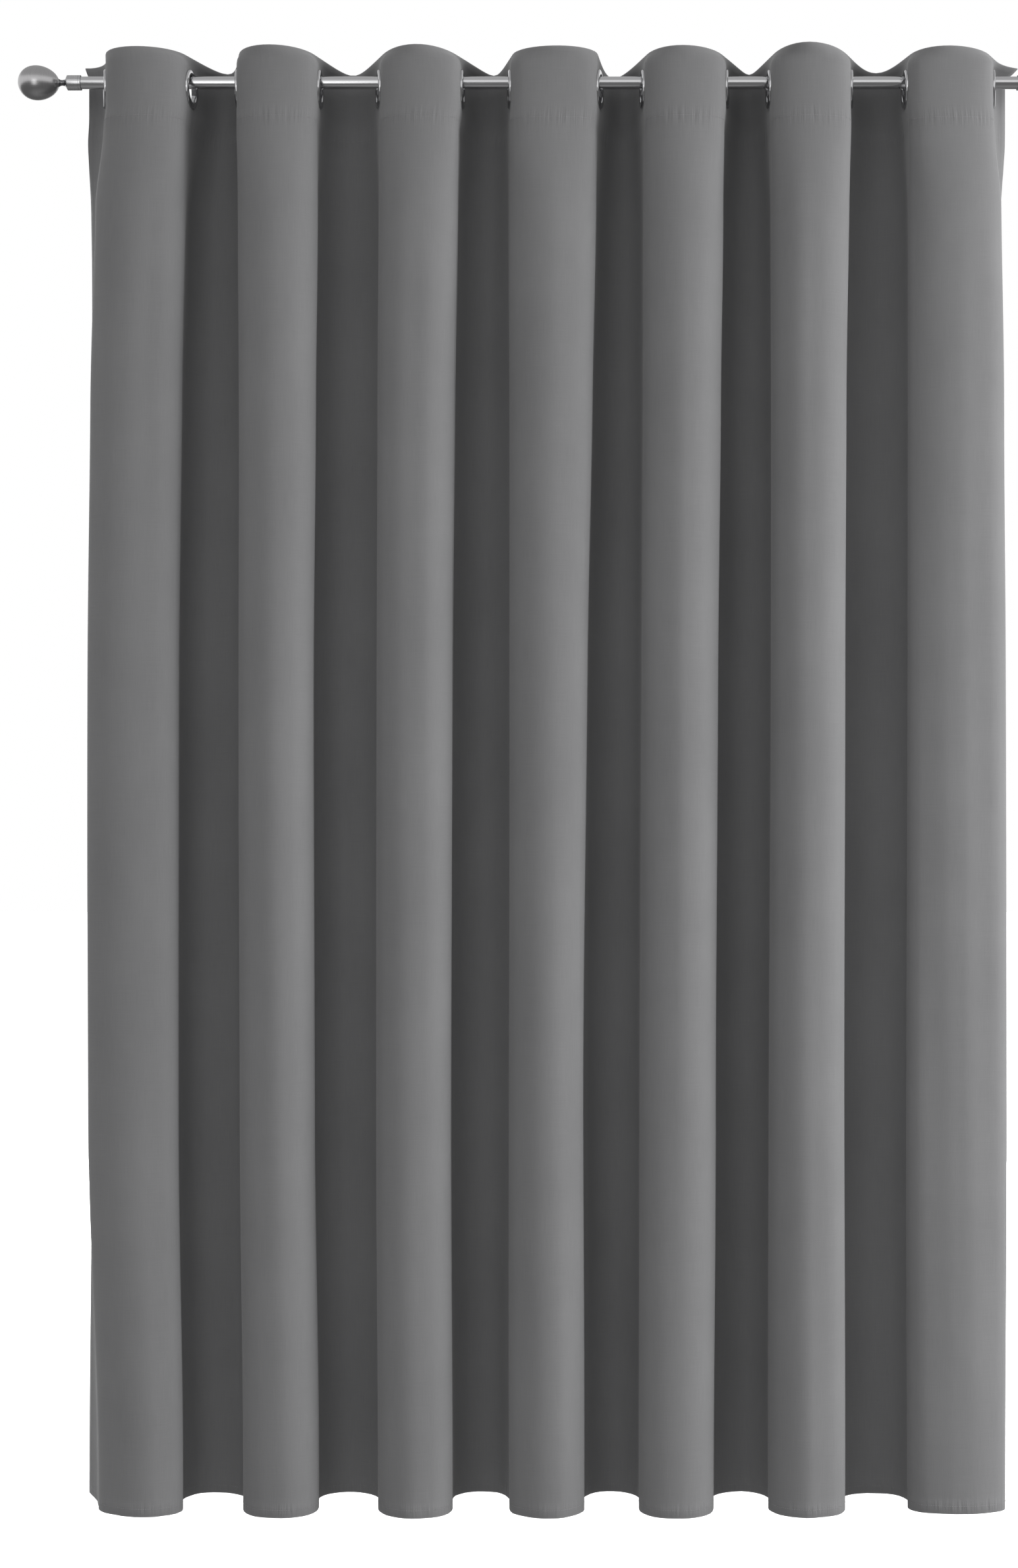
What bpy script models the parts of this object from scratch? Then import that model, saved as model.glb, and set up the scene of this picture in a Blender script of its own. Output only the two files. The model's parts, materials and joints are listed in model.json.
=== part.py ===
"""Eyelet curtain panel drawn across a metal curtain pole.

The cloth hangs from snap-together eyelet rings that slide along a round pole. The top
of the cloth is folded over a strip of stiffener, and the bottom edge is turned up into
a hem. A turned finial closes each end of the pole: a collar slips over the tube and is
locked by a grub screw, and a bolt from inside the collar holds a neck and a hollow egg.

The pole lies along X with its middle at the origin, Z is up, and the room is at -Y.
"""
import math

import bmesh
import bpy
from mathutils import Matrix, Vector

# ---------------------------------------------------------------- driving dimensions
# Lengths are in metres and angles in degrees.
CLEARANCE = 0.0003  # air left between two pieces that touch

CLOTH_THICKNESS = 0.0009
DROP = 2.286  # top fold to bottom edge
CLOTH_BETWEEN_EYELETS = 0.200  # measured along the flat cloth, centre to centre
SIDE_MARGIN = 0.070  # flat cloth from an end eyelet's centre to the side edge
HEADER_DEPTH = 0.113  # how far the top is folded down at the back
HEM_DEPTH = 0.016  # how far the bottom edge is turned up
TOP_ABOVE_EYELET = 0.050  # top fold above the eyelets' centres
RETURN_TURN = 75.0  # how far each side edge curls outwards behind the pole

STIFFENER_THICKNESS = 0.0006
STIFFENER_SIDE_INSET = 0.006  # the strip stops short of the side edges
STIFFENER_DEPTH = 0.106

# Each fold as it hangs, left to right, as a share of the flat cloth between its two
# eyelets: front folds and back folds take turns, beginning with a front fold.
FOLD_SHARES = (0.660, 0.385, 0.628, 0.483, 0.639, 0.395, 0.690,
               0.358, 0.644, 0.353, 0.628, 0.446, 0.675)
# How far each eyelet is turned from square to the pole, narrowing the front fold.
EYELET_TURNS = (12.0, 9.0, 3.0, 2.0, 9.0, 3.0, 3.0, 11.0, 2.0, 8.0, -1.0, 9.0, -2.0, 12.0)

EYELET_BORE_RADIUS = 0.0200
EYELET_RIM_RADIUS = 0.0295
EYELET_BARREL_WALL = 0.0016
EYELET_CROWN = 0.0034  # height of each ring above the cloth
EYELET_EDGE = 0.0008  # thickness of each ring at its rim
BARREL_PAST_BACK = 0.0024  # the front ring's barrel runs this far into the back ring
FLAT_PAST_RIM = 0.0010  # cloth held flat beyond an eyelet's rim

POLE_RADIUS = 0.0095
POLE_WALL = 0.0010
POLE_PAST_EYELET = 0.040  # bare pole between an end eyelet and its finial collar

COLLAR_GRIP = 0.021  # how far a collar reaches over the pole
COLLAR_WALL = 0.0017
COLLAR_CONE = 0.0042
COLLAR_END_RADIUS = 0.0050
COLLAR_GROOVE_AT = 0.0026  # from the open end
COLLAR_GROOVE_WIDTH = 0.0012
COLLAR_GROOVE_DEPTH = 0.0008

BOLT_RADIUS = 0.0030
BOLT_HEAD_RADIUS = 0.0050
BOLT_HEAD_HEIGHT = 0.0040
BOLT_IN_EGG = 0.0180

NECK_LENGTH = 0.0083
NECK_WAIST_RADIUS = 0.0042

EGG_LENGTH = 0.065
EGG_RADIUS = 0.026
EGG_TAPER = 0.10  # how much the end by the neck is slimmer than the far end
EGG_WALL = 0.0020
EGG_SEAT_RADIUS = 0.0056
EGG_BOSS_RADIUS = 0.0070

GRUB_RADIUS = 0.0015
GRUB_LENGTH = 0.0024
GRUB_FROM_OPEN_END = 0.0095
GRUB_SOCKET_RADIUS = 0.0007
GRUB_SOCKET_DEPTH = 0.0012

# facets
FOLD_STEPS = 6
RETURN_STEPS = 4
EYELET_STEPS = 16
TURNED_STEPS = 20
EGG_STEPS = 9

# ------------------------------------------------------------------- worked-out sizes
COUNT = len(FOLD_SHARES) + 1
GAPS = [share * CLOTH_BETWEEN_EYELETS for share in FOLD_SHARES]
HUNG_WIDTH = sum(GAPS)
EYELET_X = [sum(GAPS[:i]) - HUNG_WIDTH / 2 for i in range(COUNT)]
EYELET_Z = -(EYELET_BORE_RADIUS - POLE_RADIUS - CLEARANCE)  # bores hang on the pole
FLAT_HALF = EYELET_RIM_RADIUS + FLAT_PAST_RIM

LAYER_OFFSET = STIFFENER_THICKNESS / 2 + CLEARANCE + CLOTH_THICKNESS / 2
HEADER_HALF = LAYER_OFFSET + CLOTH_THICKNESS / 2  # half the folded header's thickness
HEM_RADIUS = (CLOTH_THICKNESS + CLEARANCE) / 2
TOP_Z = EYELET_Z + TOP_ABOVE_EYELET
BOTTOM_Z = TOP_Z - DROP

BARREL_RADIUS = EYELET_BORE_RADIUS + EYELET_BARREL_WALL
SEAT = HEADER_HALF + CLEARANCE  # a ring's seat, from the header's middle plane

POLE_HALF = HUNG_WIDTH / 2 + POLE_PAST_EYELET + COLLAR_GRIP
COLLAR_BORE_RADIUS = POLE_RADIUS + CLEARANCE
COLLAR_RADIUS = COLLAR_BORE_RADIUS + COLLAR_WALL
BOLT_HOLE_RADIUS = BOLT_RADIUS + CLEARANCE
NECK_FROM = CLEARANCE + COLLAR_CONE + CLEARANCE  # from the pole's end, outwards
EGG_FROM = NECK_FROM + NECK_LENGTH + CLEARANCE


# -------------------------------------------------------------------------- materials
def finish(name, colour, roughness, metallic=0.0):
    """A Principled material for one kind of piece."""
    material = bpy.data.materials.new(name)
    material.use_nodes = True
    shader = material.node_tree.nodes["Principled BSDF"]
    shader.inputs["Base Color"].default_value = (*colour, 1.0)
    shader.inputs["Roughness"].default_value = roughness
    shader.inputs["Metallic"].default_value = metallic
    return material


# ----------------------------------------------------------------------- object tools
def collection(name):
    made = bpy.data.collections.new(name)
    bpy.context.scene.collection.children.link(made)
    return made


def make_object(name, mesh, home, material=None):
    made = bpy.data.objects.new(name, mesh)
    home.objects.link(made)
    if material:
        mesh.materials.append(material)
    return made


def turned(name, profile, steps, home, material, closed=True):
    """A turned piece: a profile of (radius, height) points spun about its own Z."""
    mesh = bpy.data.meshes.new(name)
    edges = [(i, i + 1) for i in range(len(profile) - 1)]
    if closed:
        edges.append((len(profile) - 1, 0))
    mesh.from_pydata([(radius, 0.0, height) for radius, height in profile], edges, [])
    made = make_object(name, mesh, home, material)
    screw = made.modifiers.new("turn", "SCREW")
    screw.steps = screw.render_steps = steps
    screw.use_merge_vertices = True
    screw.merge_threshold = 0.00005
    screw.use_smooth_shade = True
    return made


def cut(target, cutter):
    boolean = target.modifiers.new("cut", "BOOLEAN")
    boolean.operation = "DIFFERENCE"
    boolean.solver = "EXACT"
    boolean.object = cutter


# ------------------------------------------------------------------ the folds in plan
def wall_direction(i):
    """Direction of the cloth through eyelet i, following it from left to right."""
    turn = math.radians(EYELET_TURNS[i])
    towards_room = -1 if i % 2 == 0 else 1
    return Vector((math.sin(turn), towards_room * math.cos(turn)))


def eyelet_centre(i):
    return Vector((EYELET_X[i], 0.0))


def bezier(start, start_handle, end_handle, end, steps):
    points = []
    for k in range(1, steps):
        t = k / steps
        points.append(
            start * (1 - t) ** 3
            + start_handle * 3 * t * (1 - t) ** 2
            + end_handle * 3 * t * t * (1 - t)
            + end * t**3
        )
    return points


def length_of(points):
    return sum((b - a).length for a, b in zip(points, points[1:]))


def fold(i):
    """The rounded fold from eyelet i to the next: its cloth length sets its depth."""
    start = eyelet_centre(i) + wall_direction(i) * FLAT_HALF
    end = eyelet_centre(i + 1) - wall_direction(i + 1) * FLAT_HALF
    wanted = CLOTH_BETWEEN_EYELETS - 2 * FLAT_HALF
    shallow, deep = 0.0, CLOTH_BETWEEN_EYELETS
    for _ in range(40):
        reach = (shallow + deep) / 2
        inner = bezier(
            start, start + wall_direction(i) * reach, end - wall_direction(i + 1) * reach,
            end, FOLD_STEPS)
        if length_of([start, *inner, end]) < wanted:
            shallow = reach
        else:
            deep = reach
    return [start, *inner, end]


def side_return(i):
    """The side edge's curl beyond end eyelet i, listed outwards from its flat."""
    outwards = -1 if i == 0 else 1
    radius = (SIDE_MARGIN - FLAT_HALF) / math.radians(RETURN_TURN)
    back = wall_direction(i) * outwards
    out = Vector((back.y, -back.x)) * outwards
    start = eyelet_centre(i) + back * FLAT_HALF
    points = []
    for k in range(1, RETURN_STEPS + 1):
        angle = math.radians(RETURN_TURN) * k / RETURN_STEPS
        points.append(
            start + back * radius * math.sin(angle) + out * radius * (1 - math.cos(angle)))
    return points


def plan(trim=0.0):
    """The header's middle line in plan from the left edge to the right edge, with each
    side edge set back by trim."""
    last = COUNT - 1
    points = side_return(0)[::-1]
    points.append(eyelet_centre(0) - wall_direction(0) * FLAT_HALF)
    for i in range(last):
        points += fold(i)
    points.append(eyelet_centre(last) + wall_direction(last) * FLAT_HALF)
    points += side_return(last)
    points[0] = points[0] + (points[1] - points[0]).normalized() * trim
    points[-1] = points[-1] + (points[-2] - points[-1]).normalized() * trim
    return points


def face_normals(points):
    """Each plan point's normal on the face side, which is the room side of a front fold,
    lengthened at a bend so that offset lines keep their distance."""
    normals = []
    for k, point in enumerate(points):
        before = (point - points[max(k - 1, 0)]).normalized()
        after = (points[min(k + 1, len(points) - 1)] - point).normalized()
        if k == 0:
            before = after
        if k == len(points) - 1:
            after = before
        along = (before + after).normalized()
        normals.append(Vector((along.y, -along.x)) / along.dot(after))
    return normals


def hung_sheet(name, profile, thickness, home, material, trim=0.0):
    """A sheet that follows the folds: profile lists (offset to the face side, height)."""
    points = plan(trim)
    normals = face_normals(points)
    mesh = bpy.data.meshes.new(name)
    build = bmesh.new()
    rows = []
    for offset, height in profile:
        rows.append([
            build.verts.new((p.x + n.x * offset, p.y + n.y * offset, height))
            for p, n in zip(points, normals)
        ])
    for low, high in zip(rows, rows[1:]):
        for k in range(len(points) - 1):
            build.faces.new((low[k], high[k], high[k + 1], low[k + 1]))
    build.to_mesh(mesh)
    build.free()
    made = make_object(name, mesh, home, material)
    solid = made.modifiers.new("thickness", "SOLIDIFY")
    solid.thickness = thickness
    solid.offset = 0.0
    solid.use_even_offset = True
    solid.use_rim = True
    return made


# --------------------------------------------------------------------------- eyelets
def eyelet_matrix(i):
    """Stands an eyelet on the cloth: local Z to the face side, local Y up."""
    along = wall_direction(i)
    face = Vector((along.y, -along.x, 0.0))
    up = Vector((0.0, 0.0, 1.0))
    across = up.cross(face)
    turn = Matrix((across, up, face)).transposed().to_4x4()
    centre = eyelet_centre(i)
    return Matrix.Translation((centre.x, centre.y, EYELET_Z)) @ turn


def front_ring_profile():
    """Domed flange with a barrel that goes through the header."""
    crown = SEAT + EYELET_CROWN
    middle = (EYELET_BORE_RADIUS + EYELET_RIM_RADIUS) / 2
    return [
        (EYELET_BORE_RADIUS, -(SEAT + BARREL_PAST_BACK)),
        (EYELET_BORE_RADIUS, crown - 0.5 * EYELET_CROWN),
        (EYELET_BORE_RADIUS + 0.5 * EYELET_BARREL_WALL, crown - 0.15 * EYELET_CROWN),
        (middle - 0.15 * EYELET_BORE_RADIUS / 2, crown),
        (EYELET_RIM_RADIUS - EYELET_BARREL_WALL, crown - 0.4 * EYELET_CROWN),
        (EYELET_RIM_RADIUS, SEAT + EYELET_EDGE),
        (EYELET_RIM_RADIUS, SEAT),
        (BARREL_RADIUS, SEAT),
        (BARREL_RADIUS, -(SEAT + BARREL_PAST_BACK)),
    ]


def back_ring_profile():
    """Domed ring that snaps over the front ring's barrel."""
    crown = SEAT + EYELET_CROWN
    inner = BARREL_RADIUS + CLEARANCE
    middle = (inner + EYELET_RIM_RADIUS) / 2
    return [
        (inner, -crown + 0.2 * EYELET_CROWN),
        (inner, -SEAT),
        (EYELET_RIM_RADIUS, -SEAT),
        (EYELET_RIM_RADIUS, -SEAT - EYELET_EDGE),
        (EYELET_RIM_RADIUS - EYELET_BARREL_WALL, -crown + 0.4 * EYELET_CROWN),
        (middle, -crown),
    ]


def eyelets(home, material):
    for i in range(COUNT):
        for side, profile in (("front", front_ring_profile()), ("back", back_ring_profile())):
            ring = turned(
                f"eyelet_{i + 1:02d}_{side}_ring", profile, EYELET_STEPS, home, material)
            ring.matrix_world = eyelet_matrix(i)


def eyelet_hole_cutter(home):
    """One cylinder for each eyelet's barrel, all in one mesh."""
    mesh = bpy.data.meshes.new("eyelet_holes")
    build = bmesh.new()
    for i in range(COUNT):
        bmesh.ops.create_cone(
            build, cap_ends=True, segments=EYELET_STEPS,
            radius1=BARREL_RADIUS + CLEARANCE, radius2=BARREL_RADIUS + CLEARANCE,
            depth=4 * HEADER_HALF, matrix=eyelet_matrix(i))
    build.to_mesh(mesh)
    build.free()
    return cutter_object("eyelet_holes", mesh, home)


def cutter_object(name, mesh, home):
    made = make_object(name, mesh, home)
    made.hide_render = True
    made.display_type = "WIRE"
    return made


# ----------------------------------------------------------------------------- cloth
def half_turn(centre, radius, height, upwards):
    """Points of a fold's half circle, from the face side to the back when it runs down,
    and from the back to the face side when it runs up."""
    way = 1 if upwards else -1
    return [
        (centre - way * radius * math.cos(math.radians(a)),
         height + way * radius * math.sin(math.radians(a)))
        for a in (60, 120)
    ]


def cloth(home, material, holes):
    turn_z = TOP_Z - HEADER_HALF
    hem_z = BOTTOM_Z + HEM_RADIUS + CLOTH_THICKNESS / 2
    hem_offset = LAYER_OFFSET - 2 * HEM_RADIUS
    profile = [
        (-LAYER_OFFSET, TOP_Z - HEADER_DEPTH),
        (-LAYER_OFFSET, turn_z),
        *half_turn(0.0, LAYER_OFFSET, turn_z, upwards=True),
        (LAYER_OFFSET, turn_z),
        (LAYER_OFFSET, hem_z),
        *half_turn(LAYER_OFFSET - HEM_RADIUS, HEM_RADIUS, hem_z, upwards=False),
        (hem_offset, hem_z),
        (hem_offset, BOTTOM_Z + HEM_DEPTH),
    ]
    made = hung_sheet("curtain_fabric", profile, CLOTH_THICKNESS, home, material)
    cut(made, holes)
    return made


def stiffener(home, material, holes):
    top = TOP_Z - HEADER_HALF - CLEARANCE
    profile = [(0.0, top - STIFFENER_DEPTH), (0.0, top)]
    made = hung_sheet(
        "header_stiffener", profile, STIFFENER_THICKNESS, home, material,
        trim=STIFFENER_SIDE_INSET)
    cut(made, holes)
    return made


# ------------------------------------------------------------------- pole and finials
def pole(home, material):
    inner = POLE_RADIUS - POLE_WALL
    profile = [
        (inner, -POLE_HALF),
        (inner, POLE_HALF),
        (POLE_RADIUS, POLE_HALF),
        (POLE_RADIUS, -POLE_HALF),
    ]
    made = turned("pole_tube", profile, TURNED_STEPS, home, material)
    made.rotation_euler = (0.0, math.radians(90), 0.0)
    return made


def collar_profile():
    """Sleeve over the pole, closed by a cone that the bolt passes through."""
    open_end = -COLLAR_GRIP
    groove = open_end + COLLAR_GROOVE_AT
    groove_radius = COLLAR_RADIUS - COLLAR_GROOVE_DEPTH
    return [
        (COLLAR_BORE_RADIUS, open_end),
        (COLLAR_BORE_RADIUS, CLEARANCE),
        (BOLT_HOLE_RADIUS, CLEARANCE),
        (BOLT_HOLE_RADIUS, CLEARANCE + COLLAR_CONE),
        (COLLAR_END_RADIUS, CLEARANCE + COLLAR_CONE),
        (COLLAR_RADIUS, CLEARANCE),
        (COLLAR_RADIUS, groove + COLLAR_GROOVE_WIDTH),
        (groove_radius, groove + COLLAR_GROOVE_WIDTH),
        (groove_radius, groove),
        (COLLAR_RADIUS, groove),
        (COLLAR_RADIUS, open_end),
    ]


def neck_profile():
    """Waisted spacer between the collar and the egg."""
    top = NECK_FROM + NECK_LENGTH
    middle = (NECK_FROM + top) / 2
    return [
        (BOLT_HOLE_RADIUS, NECK_FROM),
        (BOLT_HOLE_RADIUS, top),
        (EGG_SEAT_RADIUS, top),
        (NECK_WAIST_RADIUS, middle + 0.2 * NECK_LENGTH),
        (NECK_WAIST_RADIUS, middle - 0.2 * NECK_LENGTH),
        (COLLAR_END_RADIUS, NECK_FROM),
    ]


def bolt_profile():
    """Round-headed bolt, head inside the pole's end and shank into the egg."""
    tip = EGG_FROM + BOLT_IN_EGG
    return [
        (0.0, tip),
        (BOLT_RADIUS, tip),
        (BOLT_RADIUS, 0.0),
        (BOLT_HEAD_RADIUS, 0.0),
        (BOLT_HEAD_RADIUS, -BOLT_HEAD_HEIGHT),
        (0.0, -BOLT_HEAD_HEIGHT),
    ]


def egg_radius(share, radius):
    """Radius at a share of the egg's length, from its far end to the neck."""
    across = 2 * share - 1
    return radius * math.sqrt(max(0.0, 1 - across * across)) * (1 - EGG_TAPER * across)


def egg_profile():
    """Hollow egg whose inner boss takes the bolt."""
    tip = EGG_FROM + EGG_LENGTH
    inner_length = EGG_LENGTH - 2 * EGG_WALL
    outer, inner = [], []
    for k in range(EGG_STEPS):
        share = (1 - math.cos(math.pi * k / EGG_STEPS)) / 2
        outer.append((egg_radius(share, EGG_RADIUS), tip - share * EGG_LENGTH))
        radius = egg_radius(share, EGG_RADIUS - EGG_WALL)
        if share < 0.5 or radius > EGG_BOSS_RADIUS + EGG_WALL:
            inner.append((radius, tip - EGG_WALL - share * inner_length))
    outer = [p for p in outer if p[1] > EGG_FROM + EGG_WALL or p[0] > EGG_SEAT_RADIUS]
    boss_root = inner[-1][1] - 0.5 * EGG_WALL
    boss_end = EGG_FROM + BOLT_IN_EGG + EGG_WALL
    return [
        *outer,
        (EGG_SEAT_RADIUS, EGG_FROM),
        (BOLT_HOLE_RADIUS, EGG_FROM),
        (BOLT_HOLE_RADIUS, boss_end),
        (EGG_BOSS_RADIUS, boss_end),
        (EGG_BOSS_RADIUS, boss_root),
        *reversed(inner),
    ]


def grub_profile():
    """Headless screw with a socket in its outer end, standing on the pole."""
    foot = POLE_RADIUS + CLEARANCE
    top = foot + GRUB_LENGTH
    return [
        (0.0, top - GRUB_SOCKET_DEPTH),
        (GRUB_SOCKET_RADIUS, top - GRUB_SOCKET_DEPTH),
        (GRUB_SOCKET_RADIUS, top),
        (GRUB_RADIUS, top),
        (GRUB_RADIUS, foot),
        (0.0, foot),
    ]


def grub_x(side):
    return side * (POLE_HALF - COLLAR_GRIP + GRUB_FROM_OPEN_END)


def grub_hole_cutter(name, side, home):
    mesh = bpy.data.meshes.new(name)
    build = bmesh.new()
    hole = GRUB_RADIUS + CLEARANCE
    turn = Matrix.Rotation(math.radians(-90), 4, "X")
    place = Matrix.Translation((grub_x(side), COLLAR_RADIUS, 0.0))
    bmesh.ops.create_cone(
        build, cap_ends=True, segments=TURNED_STEPS // 2, radius1=hole, radius2=hole,
        depth=4 * COLLAR_WALL, matrix=place @ turn)
    build.to_mesh(mesh)
    build.free()
    return cutter_object(name, mesh, home)


def finial(label, side, home, cutters, finishes):
    """The pieces at one end of the pole: side is -1 at the left and 1 at the right."""
    outwards = Matrix.Rotation(math.radians(90 * side), 4, "Y")
    place = Matrix.Translation((side * POLE_HALF, 0.0, 0.0)) @ outwards
    collar = turned(
        f"finial_collar_{label}", collar_profile(), TURNED_STEPS, home, finishes["satin"])
    neck = turned(
        f"finial_neck_{label}", neck_profile(), TURNED_STEPS, home, finishes["dark"])
    bolt = turned(
        f"finial_bolt_{label}", bolt_profile(), TURNED_STEPS // 2, home, finishes["zinc"],
        closed=False)
    egg = turned(
        f"finial_egg_{label}", egg_profile(), TURNED_STEPS, home, finishes["satin"],
        closed=False)
    for piece in (collar, neck, bolt, egg):
        piece.matrix_world = place
    cut(collar, grub_hole_cutter(f"grub_hole_{label}", side, cutters))
    grub = turned(
        f"finial_grub_screw_{label}", grub_profile(), TURNED_STEPS // 2, home,
        finishes["zinc"], closed=False)
    turn = Matrix.Rotation(math.radians(-90), 4, "X")
    grub.matrix_world = Matrix.Translation((grub_x(side), 0.0, 0.0)) @ turn


# ------------------------------------------------------------------------------ build
for leftover in list(bpy.data.objects):
    bpy.data.objects.remove(leftover)

curtain = collection("eyelet_curtain_panel")
guides = collection("cutters")

finishes = {
    "cloth": finish("grey_blackout_cloth", (0.20, 0.20, 0.205), 0.85),
    "strip": finish("white_stiffener", (0.78, 0.78, 0.76), 0.9),
    "chrome": finish("polished_nickel", (0.72, 0.72, 0.73), 0.12, 1.0),
    "satin": finish("satin_nickel", (0.55, 0.55, 0.56), 0.3, 1.0),
    "dark": finish("dark_nickel", (0.16, 0.16, 0.17), 0.25, 1.0),
    "zinc": finish("zinc_plate", (0.6, 0.6, 0.62), 0.4, 1.0),
}

holes = eyelet_hole_cutter(guides)
cloth(curtain, finishes["cloth"], holes)
stiffener(curtain, finishes["strip"], holes)
eyelets(curtain, finishes["chrome"])
pole(curtain, finishes["satin"])
finial("left", -1, curtain, guides, finishes)
finial("right", 1, curtain, guides, finishes)
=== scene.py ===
"""Eyelet curtain panel drawn across a metal pole: the finished pieces and their setting.

The pieces are made in the order that the curtain is put up: the pole, its finials, the
eyelets, the stiffened header, the hanging cloth, and the thread that sews it.
"""
import json
import math

import bmesh
import bpy
import numpy as np
from mathutils import Matrix, Vector

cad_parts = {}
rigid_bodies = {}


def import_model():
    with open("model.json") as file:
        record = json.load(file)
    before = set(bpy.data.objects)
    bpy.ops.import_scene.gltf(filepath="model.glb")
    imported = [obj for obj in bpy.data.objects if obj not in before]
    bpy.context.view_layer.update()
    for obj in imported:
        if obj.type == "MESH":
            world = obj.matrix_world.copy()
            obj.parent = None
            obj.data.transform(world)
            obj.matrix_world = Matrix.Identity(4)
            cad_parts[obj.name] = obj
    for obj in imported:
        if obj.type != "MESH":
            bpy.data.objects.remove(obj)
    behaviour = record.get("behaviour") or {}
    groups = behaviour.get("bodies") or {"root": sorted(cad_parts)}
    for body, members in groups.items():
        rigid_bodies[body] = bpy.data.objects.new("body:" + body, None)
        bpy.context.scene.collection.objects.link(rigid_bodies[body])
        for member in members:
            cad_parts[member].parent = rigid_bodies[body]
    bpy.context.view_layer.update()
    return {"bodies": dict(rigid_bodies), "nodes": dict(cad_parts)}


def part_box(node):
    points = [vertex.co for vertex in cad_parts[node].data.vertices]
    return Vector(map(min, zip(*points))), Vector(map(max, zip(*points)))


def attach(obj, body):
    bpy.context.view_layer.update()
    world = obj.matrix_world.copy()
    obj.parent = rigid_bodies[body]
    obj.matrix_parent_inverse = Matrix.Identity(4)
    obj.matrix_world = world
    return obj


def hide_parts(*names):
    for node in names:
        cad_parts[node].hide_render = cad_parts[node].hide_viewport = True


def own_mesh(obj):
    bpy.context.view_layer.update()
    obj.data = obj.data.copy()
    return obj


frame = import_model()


# ------------------------------------------------------------------------------ pole
# The pole is a drawn steel tube, nickel plated and brushed along its length. It is
# turned here as one closed wall with small rounded rims at both ends.
def add_node(tree, kind, **sockets):
    """Adds a shader node and sets its inputs by name, with spaces as underscores."""
    made = tree.nodes.new(kind)
    for name, value in sockets.items():
        made.inputs[name.replace("_", " ")].default_value = value
    return made


def new_material(name):
    """An empty node material with its Principled shader."""
    material = bpy.data.materials.new(name)
    material.use_nodes = True
    return material, material.node_tree, material.node_tree.nodes["Principled BSDF"]


def brushed_metal(name, colour, roughness, grain, bump=0.00001):
    """Plated metal with a brushed grain. grain is how fine the marks are along X, Y and
    Z, in marks a metre, so a low number draws them out into lines."""
    material, tree, shader = new_material(name)
    link = tree.links.new
    shader.inputs["Metallic"].default_value = 1.0
    place = tree.nodes.new("ShaderNodeTexCoord")
    stretch = add_node(tree, "ShaderNodeMapping", Scale=grain)
    marks = add_node(tree, "ShaderNodeTexNoise", Scale=1.0, Detail=5.0, Roughness=0.62)
    smears = add_node(tree, "ShaderNodeTexNoise", Scale=38.0, Detail=3.0, Roughness=0.5)
    link(place.outputs["Object"], stretch.inputs["Vector"])
    link(stretch.outputs["Vector"], marks.inputs["Vector"])
    link(place.outputs["Object"], smears.inputs["Vector"])
    shine = add_node(tree, "ShaderNodeMapRange", To_Min=roughness * 0.75, To_Max=roughness * 1.3)
    link(marks.outputs["Fac"], shine.inputs["Value"])
    handled = tree.nodes.new("ShaderNodeMath")
    handled.operation = "MULTIPLY_ADD"
    handled.inputs[1].default_value = roughness * 0.35
    link(smears.outputs["Fac"], handled.inputs[0])
    link(shine.outputs["Result"], handled.inputs[2])
    link(handled.outputs["Value"], shader.inputs["Roughness"])
    tint = tree.nodes.new("ShaderNodeValToRGB")
    tint.color_ramp.elements[0].position = 0.3
    tint.color_ramp.elements[0].color = (*[0.86 * c for c in colour], 1.0)
    tint.color_ramp.elements[1].position = 0.7
    tint.color_ramp.elements[1].color = (*colour, 1.0)
    link(marks.outputs["Fac"], tint.inputs["Fac"])
    link(tint.outputs["Color"], shader.inputs["Base Color"])
    relief = add_node(tree, "ShaderNodeBump", Strength=0.6, Distance=bump)
    link(marks.outputs["Fac"], relief.inputs["Height"])
    link(relief.outputs["Normal"], shader.inputs["Normal"])
    return material


def put_in_scene(name, mesh, material):
    """Links a mesh as a piece at the origin, with its material."""
    mesh.materials.clear()
    mesh.materials.append(material)
    piece = bpy.data.objects.new(name, mesh)
    bpy.context.scene.collection.objects.link(piece)
    return piece


def turned_piece(name, profile, steps, place, material, sharp=40.0):
    """Spins a closed loop of (radius, height) points about Z and stands it at place."""
    build = bmesh.new()
    ring = [build.verts.new((radius, 0.0, height)) for radius, height in profile]
    edges = [build.edges.new((a, b)) for a, b in zip(ring, ring[1:])]
    # an outline that starts or ends on the axis is closed by the spin itself
    if min(profile[0][0], profile[-1][0]) > 0:
        edges.append(build.edges.new((ring[-1], ring[0])))
    bmesh.ops.spin(
        build, geom=ring + edges, axis=(0, 0, 1), cent=(0, 0, 0), steps=steps,
        angle=math.tau, use_merge=True)
    bmesh.ops.remove_doubles(build, verts=build.verts, dist=0.00001)
    bmesh.ops.recalc_face_normals(build, faces=build.faces)
    build.transform(place)
    mesh = bpy.data.meshes.new(name)
    build.to_mesh(mesh)
    build.free()
    mesh.shade_smooth()
    mesh.set_sharp_from_angle(angle=math.radians(sharp))
    return put_in_scene(name, mesh, material)


def rounded(points, radius, steps=3):
    """A closed loop of (radius, height) points, rounded at each corner that has room."""
    loop = []
    for k, point in enumerate(points):
        here = Vector(point)
        before = Vector(points[k - 1]) - here
        after = Vector(points[(k + 1) % len(points)]) - here
        if here.x <= 0 or min(before.length, after.length) < 2.2 * radius:
            loop.append(tuple(here))
            continue
        start = here + before.normalized() * radius
        end = here + after.normalized() * radius
        for s in range(steps + 1):
            t = s / steps
            loop.append(tuple(start * (1 - t) ** 2 + here * 2 * t * (1 - t) + end * t * t))
    return loop


pole_low, pole_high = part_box("pole_tube")
pole_radius = (pole_high.z - pole_low.z) / 2
pole_half = pole_high.x
POLE_WALL = 0.0010
POLE_RIM_ROUNDING = 0.0003
POLE_TURN_STEPS = 96

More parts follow.
